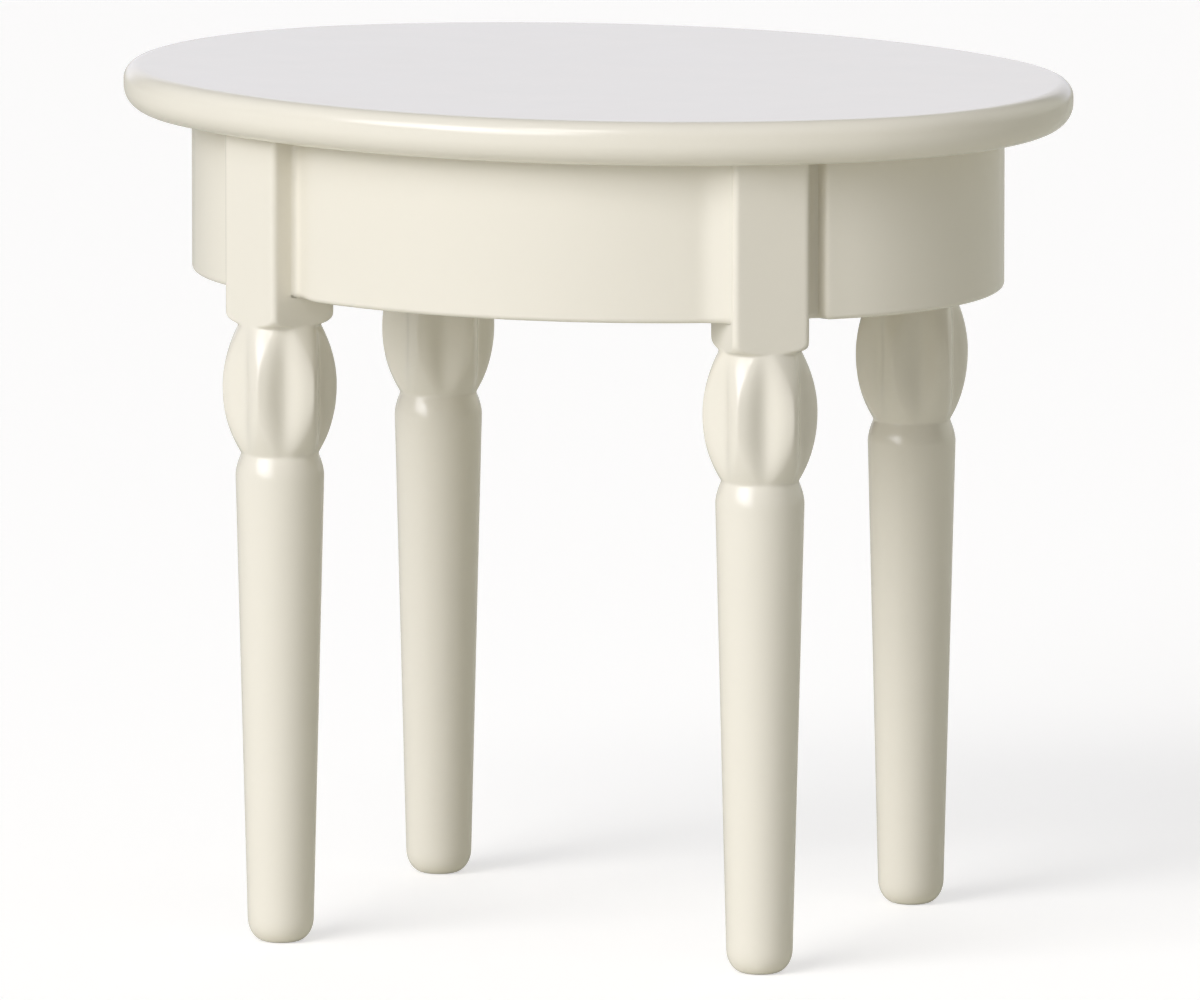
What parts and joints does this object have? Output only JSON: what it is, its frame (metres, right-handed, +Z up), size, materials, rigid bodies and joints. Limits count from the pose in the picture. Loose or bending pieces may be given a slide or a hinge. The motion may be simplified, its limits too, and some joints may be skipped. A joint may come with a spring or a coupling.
{
  "type": "miniature dining table",
  "caption": "Small oval dining table for dolls: thick rounded top, deep oval frame of curved rails, turned legs with squared heads and fluted bulbs, off-white paint.",
  "frame": {"origin": "on the floor, under the middle of the oval top", "axes": "+X along the length of the oval, +Y across it to the back, +Z up"},
  "size_m": [0.1018, 0.0754, 0.09],
  "materials": {
    "off_white_paint": "smooth semi-gloss off-white paint over wood, edges slightly softened by the paint",
    "bare_wood": "unfinished hardwood dowel"
  },
  "bodies": {
    "root": {"tabletop": "off_white_paint", "front_rail": "off_white_paint", "back_rail": "off_white_paint", "left_end_rail": "off_white_paint", "right_end_rail": "off_white_paint", "front_left_leg": "off_white_paint", "front_right_leg": "off_white_paint", "back_left_leg": "off_white_paint", "back_right_leg": "off_white_paint", "rail_dowels": "bare_wood", "top_dowels": "bare_wood"}
  },
  "joints": []
}
